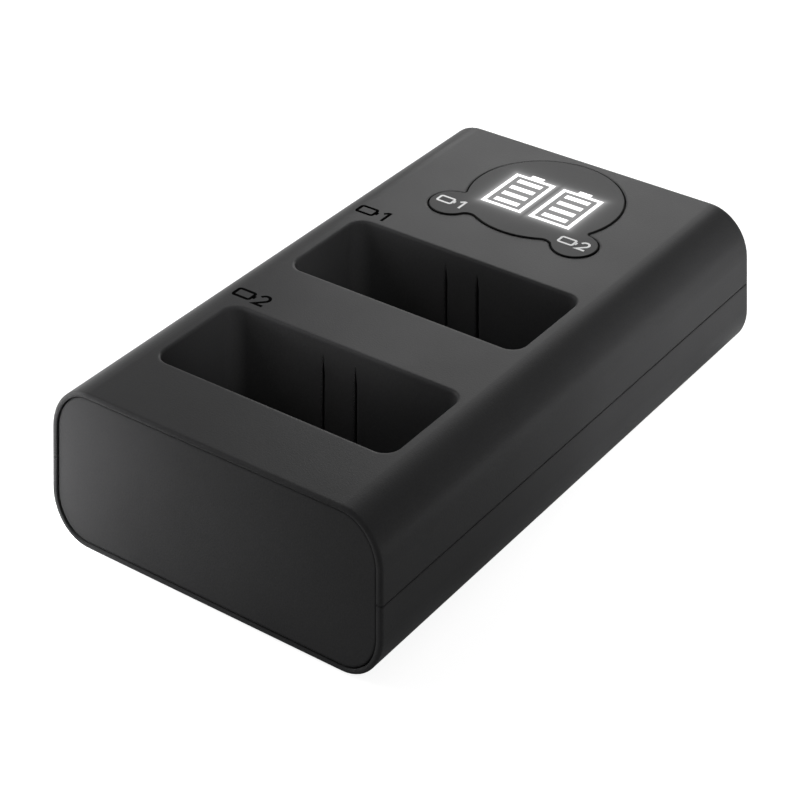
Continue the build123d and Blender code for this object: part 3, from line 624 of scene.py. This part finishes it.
def ink_finish(name, colour):
    """Dull printing ink, thinner in places, so that its tone is not quite even."""
    material, tree, shader = start_finish(name, colour, INK_ROUGHNESS, gloss=0.0)
    coverage = between(tree, noise(tree, INK_SPOT), 0, 1)
    tree.links.new(mixed(tree, coverage, shaded(colour, INK_THIN), colour), shader.inputs["Base Color"])
    raised(tree, shader, noise(tree, INK_GRAIN_SPOT), INK_GRAIN_DEPTH)
    return material


dark_ink = ink_finish("dark_mark_ink", DARK_INK)
white_ink = ink_finish("white_mark_ink", WHITE_INK)
top_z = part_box("top_cover")[1].z
window_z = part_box("display_window")[1].z
for figure, centre in POCKET_MARKS.items():
    mark = numbered_mark(figure, centre, *POCKET_MARK_SIZE, top_z)
    add_piece(f"pocket_mark_{figure}", mark, dark_ink)
for figure, centre in LOBE_MARKS.items():
    mark = numbered_mark(figure, centre, *LOBE_MARK_SIZE, window_z)
    add_piece(f"window_mark_{figure}", mark, white_ink)

# %% [markdown]
# ## Case screws
# Four pan-head screws hold the covers together from below. CAD has them as plain turned bodies; here
# the head gets its cross recess and the shank its thread. Both are one surface of revolution: a row
# of (radius, height) pairs swept round the axis, with the height pressed in where the cross is and
# the radius swelling along a helix.

# %% Screws with cross recess and thread
SCREW_SIDES = 48
HEAD_RADIUS = 1.8 * MM
HEAD_HEIGHT = 1.2 * MM
HEAD_EDGE = 0.4 * MM
FACE_STEPS = 30
EDGE_STEPS = 8
EDGE_START = -80
FACE_TOLERANCE = 0.01 * MM
CORE_RADIUS = 0.84 * MM
NECK = 0.05 * MM
TIP_RADIUS = 0.5 * CORE_RADIUS
TIP_HEIGHT = 0.45 * CORE_RADIUS
SHANK_FROM = 0.9 * CORE_RADIUS
THREAD_DEPTH = 0.18 * MM
THREAD_PITCH = 0.95 * MM
THREAD_STEPS = 10
FLANK_SLOPE = 2.5
RECESS_DEPTH = 0.75 * MM
RECESS_HALF_WIDTH = 0.30 * MM
RECESS_REACH = 1.05 * MM
RECESS_WALL = 0.12 * MM
RECESS_END = 3 * RECESS_WALL


def screw_profile(face_z, tip_z):
    """(radius, height) from the middle of the head's face, round its edge, along the shank to the tip."""
    flat = HEAD_RADIUS - HEAD_EDGE
    face = np.stack([np.linspace(0, flat, FACE_STEPS), np.full(FACE_STEPS, face_z)], axis=1)
    edge = arc((flat, face_z + HEAD_EDGE), HEAD_EDGE, EDGE_START, 0, EDGE_STEPS)
    seat_z = face_z + HEAD_HEIGHT
    under = np.array([(HEAD_RADIUS, seat_z), (CORE_RADIUS, seat_z)])
    shank_z = np.arange(seat_z + NECK, tip_z - CORE_RADIUS, THREAD_PITCH / THREAD_STEPS)
    shank = np.stack([np.full(len(shank_z), CORE_RADIUS), shank_z], axis=1)
    tip = np.array([(TIP_RADIUS, tip_z - TIP_HEIGHT), (0, tip_z)])
    return np.vstack([face, edge, under, shank, tip])


def turned_screw(axis_x, axis_y, face_z, tip_z):
    """(r cos a, r sin a, h), r thinned by the thread's valley and h raised by the cross recess."""
    radius, height = screw_profile(face_z, tip_z).T[:, :, None]
    angle = np.linspace(0, 2 * math.pi, SCREW_SIDES, endpoint=False)[None, :]
    on_shank = (radius > SHANK_FROM) & (radius <= CORE_RADIUS) & (height > face_z + HEAD_HEIGHT)
    turn = (height / THREAD_PITCH - angle / (2 * math.pi)) % 1
    valley = np.clip(FLANK_SLOPE * np.abs(turn - 0.5), 0, 1)
    r = radius - on_shank * THREAD_DEPTH * valley
    x, y = r * np.cos(angle), r * np.sin(angle)
    longer, shorter = np.maximum(np.abs(x), np.abs(y)), np.minimum(np.abs(x), np.abs(y))
    across = np.clip((RECESS_HALF_WIDTH - shorter) / RECESS_WALL, 0, 1)
    reach = np.clip((RECESS_REACH - longer) / RECESS_END, 0, 1)
    on_face = height <= face_z + FACE_TOLERANCE
    z = height + on_face * RECESS_DEPTH * across * reach
    points = np.stack([x + axis_x, y + axis_y, z], axis=-1)
    return points.reshape(-1, 3), grid_faces(len(radius), SCREW_SIDES)


screw_low, screw_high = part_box("case_screws")
screw_x = screw_high.x - HEAD_RADIUS
screw_rows = (screw_low.y + HEAD_RADIUS, screw_high.y - HEAD_RADIUS)
screw_places = [(side * screw_x, y) for y in screw_rows for side in (-1, 1)]
screws = [turned_screw(x, y, screw_low.z, screw_high.z) for x, y in screw_places]
screw_set = add_piece("cross_head_screws", joined(screws), metal_finish["screw_steel"])
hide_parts("case_screws")
print("screws at", [(round(x / MM, 2), round(y / MM, 2)) for x, y in screw_places])

# %% [markdown]
# ## Pads in the inlet
# The tongue of a USB-C inlet carries twelve flat gold pads on each face. One pad is a short strip
# with a rounded front end, and numpy places the twenty-four copies by adding a row of offsets.

# %% Gold pads on the inlet tongue
PAD_COUNT = 12
PAD_PITCH = 0.5 * MM
PAD_WIDTH = 0.27 * MM
PAD_LENGTH = 3.1 * MM
PAD_STEPS = 9
PAD_SETBACK = 0.45 * MM
PAD_PROUD = 0.03 * MM
PAD_SHARES = np.array([1.0, 1.0, 0.86, 0.0])
PAD_HEIGHTS = PAD_PROUD * np.array([-1.0, 0.5, 1.0, 1.0])
TONGUE_THICK = 0.7 * MM


def pad_strip():
    """Loops middle + share * (outline - middle), a half circle and two corners, at four heights."""
    front = arc((0, -PAD_WIDTH / 2), PAD_WIDTH / 2, 0, 180, PAD_STEPS)
    outline = np.vstack([front, [(-PAD_WIDTH / 2, -PAD_LENGTH), (PAD_WIDTH / 2, -PAD_LENGTH)]])
    middle = np.array([0, -PAD_LENGTH / 2])
    loops = middle + PAD_SHARES[:, None, None] * (outline - middle)
    upright = np.broadcast_to(PAD_HEIGHTS[:, None, None], (*loops.shape[:2], 1))
    points = np.concatenate([loops, upright], axis=2)
    return points.reshape(-1, 3), grid_faces(len(PAD_HEIGHTS), len(outline))


tongue_low, tongue_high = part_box("usb_socket_tongue")
tongue_z = (tongue_low.z + tongue_high.z) / 2
pad_points, pad_faces = pad_strip()
pad_columns = (np.arange(PAD_COUNT) - (PAD_COUNT - 1) / 2) * PAD_PITCH
pads = []
for face in (1, -1):
    for x in pad_columns:
        place = (x, tongue_high.y - PAD_SETBACK, tongue_z + face * TONGUE_THICK / 2)
        pads.append((pad_points * (1, 1, face) + place, pad_faces))
add_piece("inlet_contact_pads", joined(pads), metal_finish["contact_metal"])

# %% [markdown]
# ## Floor and surroundings
# A black object on white needs a white ground without a flood of white light, which would turn the
# black grey. So the floor and the world look white only to the camera and to reflections; for
# soft bounced light they are much darker. The floor adds its real shading to that white, so the
# charger keeps its shadow. A floor that shone under the charger too would put a pale rim on its
# lower edges, so a reflection sees the white only as far as the floor is open to the sky. An ambient
# occlusion node measures that, and a power makes it fall off fast close to the charger.

# %% White floor and world
FLOOR_HALF = 6.0
FLOOR_GREY = 0.42
FLOOR_WHITE = 0.86
SHADE_REACH = 40 * MM
SHADE_POWER = 3.0
WORLD_FILL = 0.31


def white_where_seen(tree):
    """1 for rays from the camera, from reflections and through clear bodies, 0 for the rest."""
    rays = add_node(tree, "ShaderNodeLightPath").outputs
    seen = calculate(tree, "MAXIMUM", rays["Is Camera Ray"], rays["Is Glossy Ray"])
    return calculate(tree, "MAXIMUM", seen, rays["Is Transmission Ray"])


floor_paint = bpy.data.materials.new("pale_floor")
floor_paint.use_nodes = True
tree = floor_paint.node_tree
tree.nodes.remove(tree.nodes["Principled BSDF"])
open_sky = add_node(tree, "ShaderNodeAmbientOcclusion", {"Distance": SHADE_REACH}).outputs["AO"]
shaded_sky = calculate(tree, "POWER", open_sky, SHADE_POWER)
seen_straight = add_node(tree, "ShaderNodeLightPath").outputs["Is Camera Ray"]
openness = calculate(tree, "MAXIMUM", shaded_sky, seen_straight)
white_share = calculate(tree, "MULTIPLY", white_where_seen(tree), openness)
strength = calculate(tree, "MULTIPLY", white_share, FLOOR_WHITE)
grey = add_node(tree, "ShaderNodeBsdfDiffuse", {"Color": (FLOOR_GREY, FLOOR_GREY, FLOOR_GREY, 1)})
white = add_node(tree, "ShaderNodeEmission", {"Strength": strength})
both = add_node(tree, "ShaderNodeAddShader", {0: grey.outputs[0], 1: white.outputs[0]})
tree.links.new(both.outputs[0], tree.nodes["Material Output"].inputs["Surface"])
floor_mesh = bpy.data.meshes.new("floor")
corners = [(x * FLOOR_HALF, y * FLOOR_HALF, cad_box[0].z) for x, y in ((-1, -1), (1, -1), (1, 1), (-1, 1))]
floor_mesh.from_pydata(corners, [], [(0, 1, 2, 3)])
floor_mesh.materials.append(floor_paint)
floor = bpy.data.objects.new("floor", floor_mesh)
scene.collection.objects.link(floor)

world = bpy.data.worlds.new("studio")
world.use_nodes = True
tree = world.node_tree
sky = tree.nodes["Background"]
sky.inputs["Color"].default_value = (1, 1, 1, 1)
level = between(tree, white_where_seen(tree), WORLD_FILL, 1, 0, 1)
tree.links.new(level, sky.inputs["Strength"])
scene.world = world
print("floor", 2 * FLOOR_HALF, "m wide at z", round(cad_box[0].z, 5))

# %% [markdown]
# ## Lamps
# Matte black shows its form by a few uneven lights. A softbox behind is mirrored in the top, brighter
# at the far end. A softbox and a small lamp at the left end make the front plate fade from left to
# right. A weak softbox at the right front fills the near corner, and three low lamps at the right
# lift the far half of the long side and draw a streak along its rounding. The pockets would stay
# black, so a spot lamp shines over their right rims onto the left walls, and the soft edge of its
# cone lets the light fade with depth. The lamps that stand close are hidden from reflections,
# because they would leave white spots in the views from behind and from the side.

# %% Lamps
# A softbox has a place, an aim and a size in millimetres, and a power in watts
SOFTBOXES = {
    "rear_softbox": ((-90, 200, 106), (0, 10, 20), (120, 120), 0.200),
    "left_softbox": ((-150, -80, 80), (0, -44, 10), (140, 140), 0.320),
    "left_end_lamp": ((-42, -52, 14), (0, -44, 10), (24, 24), 0.048),
    "right_front_softbox": ((250, -100, 150), (0, 0, 10), (160, 160), 0.110),
    "right_rear_lamp": ((85, 48, 14), (25, 34, 8), (40, 20), 0.040),
    "right_strip_lamp": ((125, 100, 9), (25, 20, 9), (120, 14), 0.018),
}
# A spot has a place, an aim, the angle of its cone in degrees, and a power
SPOTS = {
    "pocket_lamp": ((62, -46, 52), (-18.5, -8, 33), 40, 0.330),
    "side_lamp": ((70, 22, 5), (25, 22, 6), 100, 0.070),
}
SPOT_RADIUS = 4 * MM
SPOT_SOFTNESS = 1.0
UNMIRRORED = {"left_end_lamp", "right_rear_lamp", *SPOTS}


def hang_lamp(data, place, aim, power):
    """Hang a lamp at a place in millimetres, turned so that it looks at the aim."""
    data.energy = power
    lamp = bpy.data.objects.new(data.name, data)
    lamp.location = Vector(place) * MM
    lamp.rotation_euler = (Vector(aim) - Vector(place)).to_track_quat("-Z", "Y").to_euler()
    lamp.visible_camera = False
    lamp.visible_glossy = data.name not in UNMIRRORED
    scene.collection.objects.link(lamp)


for name, (place, aim, size, power) in SOFTBOXES.items():
    softbox = bpy.data.lights.new(name, "AREA")
    softbox.shape = "RECTANGLE"
    softbox.size, softbox.size_y = (length * MM for length in size)
    hang_lamp(softbox, place, aim, power)
for name, (place, aim, cone, power) in SPOTS.items():
    spot = bpy.data.lights.new(name, "SPOT")
    spot.spot_size = math.radians(cone)
    spot.spot_blend = SPOT_SOFTNESS
    spot.shadow_soft_size = SPOT_RADIUS
    hang_lamp(spot, place, aim, power)
print("lamps:", ", ".join([*SOFTBOXES, *SPOTS]))

# %% [markdown]
# ## Camera
# In the photograph the upright edges are parallel, as from a camera that is held level and whose
# lens is slid down. Sliding the lens that far would spoil every other view, so the same picture is
# made by leaning the camera's matrix: it looks down at the charger while its up axis stays upright.

# %% Camera
PHOTO_SIDE = 800
SENSOR = 36.0
LEVEL_FOCAL = 2654.17
HORIZON_Y = -1099.25
YAW = math.radians(35.607)
CAMERA_PLACE = (203.66 * MM, -289.08 * MM, 204.95 * MM)
CLIP_START = 10 * MM

lean = math.atan((PHOTO_SIDE / 2 - HORIZON_Y) / LEVEL_FOCAL)
camera_data = bpy.data.cameras.new("camera")
camera_data.sensor_width = SENSOR
camera_data.lens = SENSOR * LEVEL_FOCAL / math.cos(lean) / PHOTO_SIDE
camera_data.clip_start = CLIP_START
camera = bpy.data.objects.new("camera", camera_data)
scene.collection.objects.link(camera)
right = Vector((math.cos(YAW), math.sin(YAW), 0))
upright = Vector((0, 0, 1))
forward = Vector((-math.sin(YAW) * math.cos(lean), math.cos(YAW) * math.cos(lean), -math.sin(lean)))
leaned = Matrix((right, upright, -forward)).transposed().to_4x4()
leaned.translation = CAMERA_PLACE
stand = bpy.data.objects.new("camera_stand", None)
scene.collection.objects.link(stand)
camera.parent = stand
camera.matrix_parent_inverse = leaned
scene.camera = camera
print("camera leans", round(math.degrees(lean), 2), "degrees, lens", round(camera_data.lens, 1), "mm")
